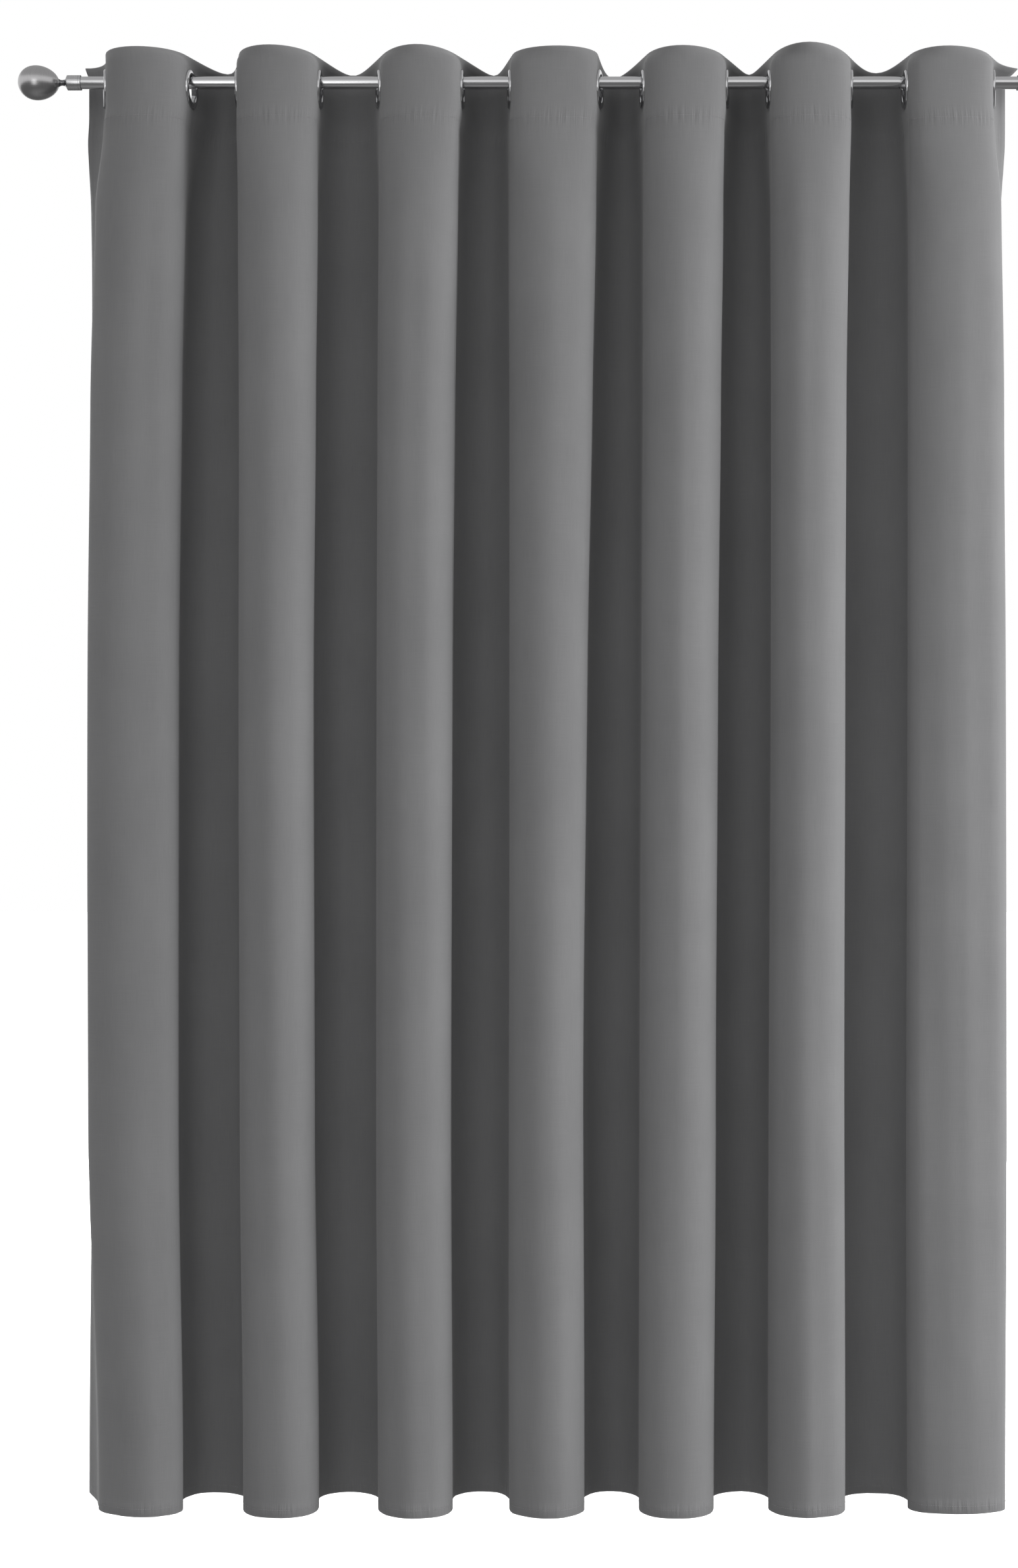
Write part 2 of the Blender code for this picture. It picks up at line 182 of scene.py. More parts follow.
satin_pole = brushed_metal("satin_nickel_tube", (0.70, 0.70, 0.71), 0.15, (14.0, 2600.0, 2600.0))
pole_section = [
    (pole_radius - POLE_WALL, -pole_half),
    (pole_radius - POLE_WALL, pole_half),
    (pole_radius, pole_half),
    (pole_radius, -pole_half),
]
pole = turned_piece(
    "pole", rounded(pole_section, POLE_RIM_ROUNDING), POLE_TURN_STEPS,
    Matrix.Rotation(math.radians(90), 4, "Y"), satin_pole)
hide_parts("pole_tube")
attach(pole, "pole")


# --------------------------------------------------------------------------- finials
# Each end of the pole wears a turned collar with a groove, a waisted neck and a hollow spun
# egg. The neck's nickel is painted dark, as painted shade for the narrow waist between
# the collar and the egg. A bolt and a grub screw, kept from the frame, hold them on.
FINIAL_TURN_STEPS = 96
COLLAR_FIT = 0.0003  # between the collar's bore and the pole
COLLAR_ROUNDING = 0.0004
COLLAR_CONE = 0.0042
COLLAR_TIP_RADIUS = 0.0050
COLLAR_GROOVE = (0.0026, 0.0012, 0.0008)  # from the open end, width, depth
NECK_WAIST_RADIUS = 0.0042
NECK_STEPS = 12
BOLT_HOLE_RADIUS = 0.0033
EGG_SEAT_RADIUS = 0.0056
EGG_WALL = 0.0020
EGG_TAPER = 0.10  # how much fuller the egg is towards its tip
EGG_BOSS_RADIUS = 0.0070
EGG_BOSS_LENGTH = 0.020
EGG_BOSS_FILLET = 0.001
EGG_OUTER_STEPS = 44
EGG_INNER_STEPS = 30

satin_collar = brushed_metal("satin_nickel_collar", (0.62, 0.62, 0.63), 0.22, (2400.0, 60.0, 60.0))
# painted shade: the neck's nickel is far darker than the rest, standing in for the shade in its
# narrow waist
painted_shade_neck = brushed_metal("dark_nickel_neck", (0.20, 0.20, 0.21), 0.22, (2400.0, 60.0, 60.0))
satin_egg = brushed_metal(
    "satin_nickel_egg", (0.50, 0.495, 0.50), 0.24, (1600.0, 50.0, 50.0), 0.00002)
zinc_screw = brushed_metal("zinc_screw", (0.55, 0.56, 0.58), 0.38, (700.0, 700.0, 700.0))


def from_pole_end(node, side):
    """A node's near and far end, measured outwards from the pole's end, and its radius."""
    low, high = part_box(node)
    ends = sorted((side * low.x - pole_half, side * high.x - pole_half))
    return ends[0], ends[1], (high.z - low.z) / 2


def collar_section(near, far, radius):
    """The sleeve over the pole's end, coned towards the neck, with a groove near its
    open end and a web that the bolt goes through."""
    shoulder = far - COLLAR_CONE
    bore = pole_radius + COLLAR_FIT
    at, width, depth = COLLAR_GROOVE
    return rounded([
        (bore, near), (bore, shoulder), (BOLT_HOLE_RADIUS, shoulder), (BOLT_HOLE_RADIUS, far),
        (COLLAR_TIP_RADIUS, far), (radius, shoulder), (radius, near + at + width),
        (radius - depth, near + at + width), (radius - depth, near + at),
        (radius, near + at), (radius, near)], COLLAR_ROUNDING)


def neck_section(near, far, seat):
    """A spool from the collar's tip to the egg's seat, narrowest halfway."""
    spool = [(BOLT_HOLE_RADIUS, near), (BOLT_HOLE_RADIUS, far)]
    for k in range(NECK_STEPS + 1):
        t = 1 - k / NECK_STEPS
        straight = COLLAR_TIP_RADIUS + (seat - COLLAR_TIP_RADIUS) * t
        flare = (straight - NECK_WAIST_RADIUS) * (2 * t - 1) ** 2
        spool.append((NECK_WAIST_RADIUS + flare, near + (far - near) * t))
    return spool


def egg_outline(near, far, radius, wall, steps, mouth):
    """Points along an egg from its far tip towards the neck, set in by a wall, as far as
    the mouth's radius."""
    points = []
    for k in range(steps + 1):
        share = (1 - math.cos(math.pi * k / steps)) / 2
        across = 2 * share - 1
        girth = (radius - wall) * math.sqrt(max(0.0, 1 - across * across))
        girth *= (1 - EGG_TAPER * across)
        point = (girth, far - wall - share * (far - near - 2 * wall))
        if girth > mouth or point[1] > (near + far) / 2:
            points.append(point)
    return points


def egg_section(near, far, radius):
    """The hollow egg's wall, with the boss inside that the bolt screws into."""
    outer = egg_outline(near, far, radius, 0.0, EGG_OUTER_STEPS, EGG_SEAT_RADIUS)
    inner = egg_outline(
        near, far, radius, EGG_WALL, EGG_INNER_STEPS, EGG_BOSS_RADIUS + EGG_BOSS_FILLET)
    boss = near + EGG_BOSS_LENGTH
    return [
        *outer, (EGG_SEAT_RADIUS, near), (BOLT_HOLE_RADIUS, near), (BOLT_HOLE_RADIUS, boss),
        (EGG_BOSS_RADIUS, boss), (EGG_BOSS_RADIUS, inner[-1][1] - EGG_BOSS_FILLET),
        *reversed(inner)]


def finial(label, side):
    """One end's collar, neck and egg, turned about the pole's axis."""
    place = (Matrix.Translation((side * pole_half, 0, 0))
             @ Matrix.Rotation(math.radians(90 * side), 4, "Y"))
    turned = (
        ("collar", collar_section, satin_collar),
        ("neck", neck_section, painted_shade_neck),
        ("egg", egg_section, satin_egg))
    for kind, section, metal in turned:
        profile = section(*from_pole_end(f"finial_{kind}_{label}", side))
        piece = turned_piece(
            f"{kind}_{label}", profile, FINIAL_TURN_STEPS, place, metal, sharp=50)
        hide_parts(f"finial_{kind}_{label}")
        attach(piece, "pole")
    for kind in ("bolt", "grub_screw"):
        hardware = frame["nodes"][f"finial_{kind}_{label}"]
        hardware.data.materials.clear()
        hardware.data.materials.append(zinc_screw)


finial("left", -1)
finial("right", 1)


# --------------------------------------------------------------------------- eyelets
# Each eyelet is two polished nickel rings: the front one's barrel goes through the
# header, and the back one snaps over it, so that the cloth is clamped flat between.
EYELET_TURN_STEPS = 72
BARREL_WALL = 0.0016
BACK_RING_GAP = 0.0003
FLANGE_EDGE = 0.0008  # how thick a flange is at its rim
FLANGE_STEPS = 10
FLANGE_FULLNESS = 0.72  # under 1 the dome has a flatter crown and rounder shoulders

polished_nickel = brushed_metal(
    "polished_nickel", (0.60, 0.60, 0.61), 0.10, (900.0, 900.0, 900.0), 0.000004)


def points_of(node):
    """A frame node's corner points, each once."""
    mesh = frame["nodes"][node].data
    found = np.empty(3 * len(mesh.vertices))
    mesh.vertices.foreach_get("co", found)
    return np.unique(found.reshape(-1, 3).round(7), axis=0)


class Eyelet:
    """Where one eyelet stands, read from its two rings: its middle on the header's
    middle plane, its axis towards the cloth's face, and its sizes."""

    def __init__(self, name, face_side):
        self.name = name
        front, back = points_of(f"{name}_front_ring"), points_of(f"{name}_back_ring")
        middle = back.mean(0)
        # the back ring is flat and round, so its axis is where its points spread least
        spread = np.linalg.svd(back - middle)[2][2]
        axis = spread * np.sign(spread[0]) * face_side
        crown = ((front - middle) @ axis).max()
        underside = ((back - middle) @ axis).min()
        self.axis = Vector(axis)
        self.centre = Vector(middle + axis * (crown + underside) / 2)
        self.crown = (crown - underside) / 2
        self.seat = -((back - np.array(self.centre)) @ axis).max()
        away = front - np.array(self.centre)
        self.barrel_end = (away @ axis).min()
        reach = np.linalg.norm(away - np.outer(away @ axis, axis), axis=1)
        self.bore, self.rim = reach.min(), reach.max()

    def place(self):
        """Stands a ring turned about Z upright, with Z along the eyelet's axis."""
        up = Vector((0, 0, 1))
        turn = Matrix((up.cross(self.axis), up, self.axis)).transposed().to_4x4()
        return Matrix.Translation(self.centre) @ turn


def flange(inner, rim, seat, crown):
    """A domed flange's outer line from the bore's mouth over the crown to the rim."""
    line = []
    for k in range(FLANGE_STEPS + 1):
        angle = math.pi * k / FLANGE_STEPS
        across = (1 - math.cos(angle)) / 2
        dome = max(math.sin(angle), 0.0) ** FLANGE_FULLNESS if 0 < k < FLANGE_STEPS else 0.0
        rise = FLANGE_EDGE + (crown - seat - FLANGE_EDGE) * dome
        line.append((inner + (rim - inner) * across, seat + rise))
    return line


def eyelet_rings(eyelet):
    """The front ring with its barrel, and the back ring that snaps over the barrel."""
    barrel = eyelet.bore + BARREL_WALL
    dome = flange(eyelet.bore, eyelet.rim, eyelet.seat, eyelet.crown)
    front = [
        (eyelet.bore, eyelet.barrel_end), *dome, (eyelet.rim, eyelet.seat),
        (barrel, eyelet.seat), (barrel, eyelet.barrel_end)]
    mouth = barrel + BACK_RING_GAP
    dome = flange(mouth, eyelet.rim, eyelet.seat, eyelet.crown)
    back = [(r, -h) for r, h in [(mouth, eyelet.seat), *dome, (eyelet.rim, eyelet.seat)]]
    for side, profile in (("front", front), ("back", back)):
        ring = turned_piece(
            f"{eyelet.name}_{side}", profile, EYELET_TURN_STEPS, eyelet.place(),
            polished_nickel, sharp=55)
        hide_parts(f"{eyelet.name}_{side}_ring")
        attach(ring, eyelet.name)


eyelet_names = sorted(name for name in frame["bodies"] if name.startswith("eyelet_"))
eyelets = [Eyelet(name, -1 if k % 2 == 0 else 1) for k, name in enumerate(eyelet_names)]
for eyelet in eyelets:
    eyelet_rings(eyelet)


# ---------------------------------------------------------------------------- header
# The top of the cloth is folded over a strip of bonded fibre, which keeps the header
# smooth between the eyelets. The strip and the cloth below follow the same folds.
CLOTH_THICKNESS = 0.0009
STRIP_THICKNESS = 0.0006
LAYER_GAP = 0.0003
CLOTH_BETWEEN = 0.200  # flat cloth from one eyelet's middle to the next
SIDE_MARGIN = 0.070  # flat cloth beyond each end eyelet's middle
HEADER_DEPTH = 0.113
DROP = 2.286
RING_CLEARANCE = 0.001  # flat cloth past the rim of each ring
HOLE_LAP = 0.001  # the holes are this much smaller than halfway out under the rings
STRIP_TOP = 0.0024
STRIP_BOTTOM = 0.108
STRIP_INSET = 0.006  # the strip stops this far from each side edge
STRIP_ROWS = 19

# The walls of the folds are straight for this far each side of the pole: at the top edge
# and where they hang free. The rings hold more of them flat in between.
TOP_FLAT_HALF = 0.015
HANGING_FLAT_HALF = 0.010

# Degrees that the side edges curl outwards, left and right.
TOP_RETURN_TURNS = (85.0, 40.0)
EYELET_RETURN_TURNS = (98.0, 68.0)
HANGING_RETURN_TURN = 20.0
HEM_CORNER_TURN = 14.0  # how far the left side swings outwards at the hem

# Between these depths the folds pass from the rings' hold to hanging free, a little
# further back.
HELD_DEPTH = 0.10
FREE_DEPTH = 0.26
SET_BACK = 0.005

# The top edge is eased in between the eyelets: how much cloth each bay keeps there, in
# millimetres, from left to right.
TOP_BAYS = (180, 167, 183, 187, 181, 178, 192, 197, 179, 165, 195, 165, 182)

# Each wall of cloth from left to right: how far it is turned along the relaxed top edge
# and where it hangs free, in degrees, and how far it has drifted sideways in the folds'
# lower length, in millimetres, at each depth below the top edge.
TOP_TURNS = (10, 28, 11, 26, 25, 31, 14, 10, 19, 30, 15, 29, 17, 33)
HANGING_TURNS = (0, -14, -4, -10, -4, -6, -5, -4, -9, -4, -12, -4, -16, -2)
WALL_DRIFT = {
    0.12: (-3, -4, 0, -2, 0, -4, -1, -3, 1, -3, 1, 0, 3, 2),
    0.24: (-17, -11, 2, -4, 1, -7, -1, -6, 1, -8, 4, -5, 6, 13),
    0.55: (-24, -17, 4, -9, -2, -13, 1, -12, 1, -13, 5, -10, 6, 18),
    0.96: (-27, -21, 3, -13, -3, -17, 1, -20, -1, -17, 5, -13, 6, 20),
    1.67: (-26, -21, 4, -9, -3, -18, 0, -27, -5, -18, 1, -13, 3, 20),
    2.21: (-13, -15, 10, -3, 0, -15, 0, -26, -5, -22, 0, -12, 5, 17),
}

# Shallow upright creases in the hanging cloth: height and width in metres, then how far,
# how fast and from where they wander sideways as they fall.
CREASES = (
    (0.00060, 0.071, 1.1, 1.9, 0.0),
    (0.00035, 0.043, 1.7, 1.3, 1.0),
    (0.00020, 0.026, 2.4, 0.8, 2.0))

cloth_low, cloth_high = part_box("curtain_fabric")
top_z = cloth_high.z
eyelet_depth = top_z - eyelets[0].centre.z
ring_reach = eyelets[0].rim + RING_CLEARANCE
flat_width = 2 * SIDE_MARGIN + CLOTH_BETWEEN * (len(eyelets) - 1)


def bezier(start, start_handle, end_handle, end, steps):
    """Points along one cubic curve."""
    t = np.linspace(0, 1, steps + 1)[:, None]
    return ((1 - t) ** 3 * start + 3 * t * (1 - t) ** 2 * start_handle
            + 3 * t * t * (1 - t) * end_handle + t**3 * end)


def length_along(points):
    """How far along a line of points each point lies."""
    return np.concatenate([[0], np.cumsum(np.linalg.norm(np.diff(points, axis=0), axis=1))])


def fold_line(walls, turns, flat_half, curl_turns, bays):
    """The cloth's line in plan. It crosses the pole at walls, turned there by turns from
    square to it, straight for flat_half each way, and rounded between, with the length of
    cloth that bays gives. The two side edges curl outwards by curl_turns."""
    flat = [np.array([x, 0.0]) for x in walls]
    along = [
        np.array([math.sin(t), (-1 if k % 2 == 0 else 1) * math.cos(t)])
        for k, t in enumerate(np.radians(turns))
    ]
    line = []
    for k in range(len(walls) - 1):
        start = flat[k] + along[k] * flat_half
        end = flat[k + 1] - along[k + 1] * flat_half
        shallow, deep = 0.0, bays[k]
        for _ in range(30):
            reach = (shallow + deep) / 2
            round_part = bezier(
                start, start + along[k] * reach, end - along[k + 1] * reach, end, 40)
            if length_along(round_part)[-1] < bays[k] - 2 * flat_half:
                shallow = reach
            else:
                deep = reach
        line += [flat[k] - along[k] * flat_half, *round_part]
    line.append(flat[-1] + along[-1] * flat_half)
    for end, outwards, curl_turn in ((0, -1, curl_turns[0]), (-1, 1, curl_turns[1])):
        angles = math.radians(curl_turn) * np.linspace(0, 1, 13)[1:, None]
        radius = (SIDE_MARGIN - flat_half) / math.radians(curl_turn)
        back = along[end] * outwards
        out = np.array([back[1], -back[0]]) * outwards
        curl = flat[end] + back * flat_half + radius * (
            back * np.sin(angles) + out * (1 - np.cos(angles)))
        line = [*curl[::-1], *line] if end == 0 else [*line, *curl]
    return np.array(line)


def at_lengths(line, lengths, bays):
    """Points on a plan line at these lengths of flat cloth from the left side edge."""
    reach = length_along(line)
    flat_marks = np.cumsum([0, SIDE_MARGIN, *[CLOTH_BETWEEN] * len(bays), SIDE_MARGIN])
    hung_marks = np.cumsum([0, SIDE_MARGIN, *bays, SIDE_MARGIN])
    along = np.interp(lengths, flat_marks, hung_marks) * reach[-1] / hung_marks[-1]
    return np.stack([np.interp(along, reach, line[:, c]) for c in (0, 1)], axis=1)


settled_moves = None  # how far the hanging cloth has moved, once it has hung


class HungShape:
    """Where the hanging cloth's middle surface is, for any width along it and depth
    below its top edge. It is worked out at a few depths and eased between them."""

    def __init__(self, lengths):
        walls = np.array([e.centre.x for e in eyelets])
        turns = np.array([
            math.degrees(math.asin(abs(e.axis.y))) * np.sign(-e.axis.y) for e in eyelets])
        hanging = np.array(HANGING_TURNS)
        curls = np.array(EYELET_RETURN_TURNS)
        # depth, walls, turns, half of each wall's straight part, side curls, set-back
        levels = [
            (0.0, walls, np.array(TOP_TURNS), TOP_FLAT_HALF, TOP_RETURN_TURNS, 0.0),
            (eyelet_depth - ring_reach, walls, turns, ring_reach, curls, 0.0),
            (eyelet_depth + ring_reach, walls, turns, ring_reach, curls, 0.0)]
        for depth, drift in WALL_DRIFT.items():
            freed = min((depth - HELD_DEPTH) / (FREE_DEPTH - HELD_DEPTH), 1.0)
            levels.append((
                depth, walls + np.array(drift) / 1000, turns + (hanging - turns) * freed,
                ring_reach + (HANGING_FLAT_HALF - ring_reach) * freed,
                curls + (HANGING_RETURN_TURN - curls) * freed, SET_BACK * freed))
        levels[-1][2][0] += HEM_CORNER_TURN
        levels.append((DROP, *levels[-1][1:]))
        self.lengths = np.asarray(lengths)
        self.depths, self.lines = [], []
        for depth, places, leans, flat_half, curl, set_back in levels:
            bays = np.array(TOP_BAYS) / 1000 if depth == 0 else [CLOTH_BETWEEN] * len(TOP_BAYS)
            line = fold_line(places, leans, flat_half, curl, bays)
            line[:, 1] += set_back
            self.depths.append(depth)
            self.lines.append(at_lengths(line, self.lengths, bays))

    def at(self, depth):
        """Plan points and face-side normals across the whole width at this depth."""
        depth = min(max(depth, 0.0), DROP)
        k = max(i for i, d in enumerate(self.depths) if d <= depth or i == 0)
        k = min(k, len(self.depths) - 2)
        t = (depth - self.depths[k]) / (self.depths[k + 1] - self.depths[k])
        t = t * t * (3 - 2 * t)
        points = self.lines[k] * (1 - t) + self.lines[k + 1] * t
        points = points + self.stray(depth) + self.settled(depth)
        along = np.gradient(points, self.lengths, axis=0)
        along /= np.linalg.norm(along, axis=1)[:, None]
        normals = np.stack([along[:, 1], -along[:, 0]], axis=1)
        return points + normals * self.ripple(depth)[:, None], normals

    def settled(self, depth):
        """How far the hanging cloth has settled at this depth, once that is known."""
        if settled_moves is None or depth <= HEADER_DEPTH:
            return 0.0
        lengths, depths, moved = settled_moves
        row = np.interp(depth, depths, np.arange(len(depths)))
        above, below = int(row), min(int(row) + 1, len(depths) - 1)
        line = moved[above] * (above + 1 - row) + moved[below] * (row - above)
        return np.stack([np.interp(self.lengths, lengths, line[:, c]) for c in (0, 1)], axis=1)

    def stray(self, depth):
        """Slow wandering of the folds as they fall, nothing at the eyelets."""
        free = min(max((depth - HEADER_DEPTH) / 0.6, 0.0), 1.0)
        bay = self.lengths / CLOTH_BETWEEN
        sway = (np.sin(2.1 * bay + 2.3 * depth) + 0.7 * np.sin(0.9 * bay - 3.7 * depth + 1.0)
                + 0.4 * np.sin(3.3 * bay + 6.1 * depth + 2.0))
        swell = np.sin(1.7 * bay - 1.9 * depth + 0.6) + 0.6 * np.sin(4.1 * bay + 3.1 * depth)
        return np.stack([0.0006 * free * sway, 0.0010 * free * swell], axis=1)

    def ripple(self, depth):
        """How high the upright creases stand, deeper where the cloth is slack."""
        free = min(max((depth - HEADER_DEPTH) / 0.25, 0.0), 1.0)
        crease = sum(
            height * np.sin(math.tau * self.lengths / width + sway * math.sin(pace * depth + start))
            for height, width, sway, pace, start in CREASES)
        slack = 0.5 + 0.5 * np.sin(2.7 * depth + 1.3 * self.lengths / CLOTH_BETWEEN)
        return free * crease * (0.55 + 0.9 * slack)


def columns():
    """Lengths along the cloth at which it is meshed: close at the eyelets, wider between."""
    close = 0.030
    clamp = np.linspace(0, close, 6)[:-1]
    span = np.linspace(close, CLOTH_BETWEEN - close, 14)
    bay = np.concatenate([clamp, span, (CLOTH_BETWEEN - clamp)[::-1]])
    margin = np.concatenate([
        np.linspace(0, SIDE_MARGIN - close, 6), SIDE_MARGIN - clamp[::-1]])
    found = list(margin)
    for k in range(len(eyelets) - 1):
        found += list(SIDE_MARGIN + k * CLOTH_BETWEEN + bay[1:])
    return np.array(found + list(flat_width - margin[::-1][1:]))


def off_the_holes(lengths, depths):
    """Which cells of the sheet's grid lie outside the eyelets' holes. The holes' edges
    are hidden between the rings."""
    middles = SIDE_MARGIN + CLOTH_BETWEEN * np.arange(len(eyelets))
    across = np.abs(lengths[None, :] - middles[:, None]).min(0)
    reach = np.hypot(across[None, :], (depths - eyelet_depth)[:, None])
    middle = (reach[:-1, :-1] + reach[1:, :-1] + reach[:-1, 1:] + reach[1:, 1:]) / 4
    return middle > (eyelets[0].bore + BARREL_WALL + eyelets[0].rim) / 2 - HOLE_LAP


def hung_sheet(name, shape, rows, thickness, material):
    """A sheet that hangs on a shape. Each row is (depth below the top edge, offset to
    the face side, extra height, length along the cloth from its top edge)."""
    count = len(shape.lengths)
    points = []
    for depth, offset, lift, _ in rows:
        plan, normals = shape.at(depth)
        plan = plan + normals * offset
        height = np.full(count, top_z - depth + lift)
        points.append(np.column_stack([plan, height]))
    grid = np.array(points)
    keep = off_the_holes(shape.lengths, np.array([row[0] for row in rows]))
    mesh = bpy.data.meshes.new(name)
    index = np.arange(grid.shape[0] * count).reshape(-1, count)
    a, b = index[:-1, :-1][keep], index[:-1, 1:][keep]
    c, d = index[1:, 1:][keep], index[1:, :-1][keep]
    faces = np.stack([a, b, c, d], axis=1)
    used = np.unique(faces)
    renumber = np.full(index.size, -1)
    renumber[used] = np.arange(len(used))
    mesh.from_pydata(grid.reshape(-1, 3)[used].tolist(), [], renumber[faces].tolist())
    layer = mesh.uv_layers.new(name="cloth")
    along = np.array([row[3] for row in rows])
    flat = np.stack(np.meshgrid(shape.lengths, along), axis=-1).reshape(-1, 2)[used]
    corners = np.empty(len(mesh.loops), int)
    mesh.loops.foreach_get("vertex_index", corners)
    layer.data.foreach_set("uv", flat[corners].ravel())
    mesh.shade_smooth()
    piece = put_in_scene(name, mesh, material)
    solid = piece.modifiers.new("thickness", "SOLIDIFY")
    solid.thickness = thickness
    solid.offset = 0.0
    return piece


def plain_mesh(piece):
    """Turns a piece's live modifiers into its mesh."""
    bpy.context.view_layer.update()
    shown = piece.evaluated_get(bpy.context.evaluated_depsgraph_get())
    mesh = bpy.data.meshes.new_from_object(shown)
    piece.modifiers.clear()
    piece.data = mesh
    return piece


def gathers(piece):
    """The piece hangs from the pole, with a mesh of its own."""
    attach(piece, "pole")
    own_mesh(piece)


SETTLING_COLUMNS = 206
SETTLING_ROWS = 72
SETTLING_FRAMES = 14
MOST_SETTLING = 0.006  # the folds may not leave their places by more than this
PINNED_BELOW_HEADER = 0.03
LEAST_HOLD = 0.22
EXTRA_HOLD = 0.20  # just below the header, fading over HOLD_FADES
HOLD_FADES = 0.3


def settled_cloth():
    """Lets a coarse sheet in these folds hang under its own weight, pinned along the
    header and held more and more loosely below it, and gives how far it has moved."""
    lengths = np.linspace(0, flat_width, SETTLING_COLUMNS)
    depths = np.linspace(HEADER_DEPTH, DROP, SETTLING_ROWS)
    start = HungShape(lengths)
    rest = np.array([
        np.column_stack([start.at(depth)[0], np.full(len(lengths), top_z - depth)])
        for depth in depths])
    index = np.arange(rest.shape[0] * rest.shape[1]).reshape(rest.shape[:2])
    faces = np.stack([index[:-1, :-1], index[:-1, 1:], index[1:, 1:], index[1:, :-1]], axis=-1)
    mesh = bpy.data.meshes.new("settling")
    mesh.from_pydata(rest.reshape(-1, 3).tolist(), [], faces.reshape(-1, 4).tolist())
    sheet = bpy.data.objects.new("settling", mesh)
    bpy.context.scene.collection.objects.link(sheet)
    held = sheet.vertex_groups.new(name="held")
    for row, depth in zip(index, depths):
        below = depth - HEADER_DEPTH
        hold = LEAST_HOLD + EXTRA_HOLD * math.exp(-below / HOLD_FADES)
        held.add(row.tolist(), 1.0 if below < PINNED_BELOW_HEADER else hold, "REPLACE")
    cloth = sheet.modifiers.new("hang", "CLOTH").settings
    cloth.quality = 6
    cloth.mass = 0.35
    cloth.tension_stiffness = cloth.compression_stiffness = 25.0
    cloth.shear_stiffness = 8.0
    cloth.bending_stiffness = 3.0
    cloth.air_damping = 2.0
    cloth.vertex_group_mass = "held"
    cloth.pin_stiffness = 0.6
    sheet.modifiers["hang"].collision_settings.use_collision = False
    for frame_number in range(1, SETTLING_FRAMES + 1):
        bpy.context.scene.frame_set(frame_number)
    shown = sheet.evaluated_get(bpy.context.evaluated_depsgraph_get())
    hung = np.empty(rest.size)
    shown.data.vertices.foreach_get("co", hung)
    moved = hung.reshape(rest.shape) - rest
    bpy.data.objects.remove(sheet)
    bpy.context.scene.frame_set(1)
    moved[..., 2] = 0
    return lengths, depths, np.clip(moved, -MOST_SETTLING, MOST_SETTLING)


settled_moves = settled_cloth()
shape = HungShape(columns())

strip_fibre, fibre_tree, fibre_shader = new_material("bonded_fibre")
fibre_shader.inputs["Base Color"].default_value = (0.74, 0.74, 0.72, 1.0)
fibre_shader.inputs["Roughness"].default_value = 0.9
fibre_noise = add_node(fibre_tree, "ShaderNodeTexNoise", Scale=900.0, Detail=4.0)
fibre_bump = add_node(fibre_tree, "ShaderNodeBump", Strength=0.5, Distance=0.0002)
fibre_tree.links.new(fibre_noise.outputs["Fac"], fibre_bump.inputs["Height"])
fibre_tree.links.new(fibre_bump.outputs["Normal"], fibre_shader.inputs["Normal"])

strip_rows = [(d, 0.0, 0.0, d) for d in np.linspace(STRIP_TOP, STRIP_BOTTOM, STRIP_ROWS)]
strip_shape = HungShape([u for u in columns() if STRIP_INSET < u < flat_width - STRIP_INSET])
stiffener = hung_sheet("stiffener", strip_shape, strip_rows, STRIP_THICKNESS, strip_fibre)
plain_mesh(stiffener)
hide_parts("header_stiffener")
gathers(stiffener)


# ----------------------------------------------------------------------------- cloth
# One width of grey blackout cloth, woven tight with a faint sheen. Its top is folded
# down behind the stiffener and its bottom edge is turned up, both sewn right through.
HEM_DEPTH = 0.016
HEADER_SEAM = 0.109  # the header's stitch line below the top edge
HEM_SEAM = 0.0125  # the hem's stitch line above the bottom edge
THREAD_PITCH = 0.00046
HEADER_PUCKER = 0.012  # how far from each seam the cloth is puckered
HEM_PUCKER = 0.009
RUBBED_EDGE = 0.0016  # how far from the folded edges the colour is rubbed paler
DARK_GREY = (0.150, 0.150, 0.153, 1.0)
PALE_GREY = (0.262, 0.262, 0.265, 1.0)

cloth_offset = STRIP_THICKNESS / 2 + LAYER_GAP + CLOTH_THICKNESS / 2
hem_radius = (CLOTH_THICKNESS + LAYER_GAP) / 2


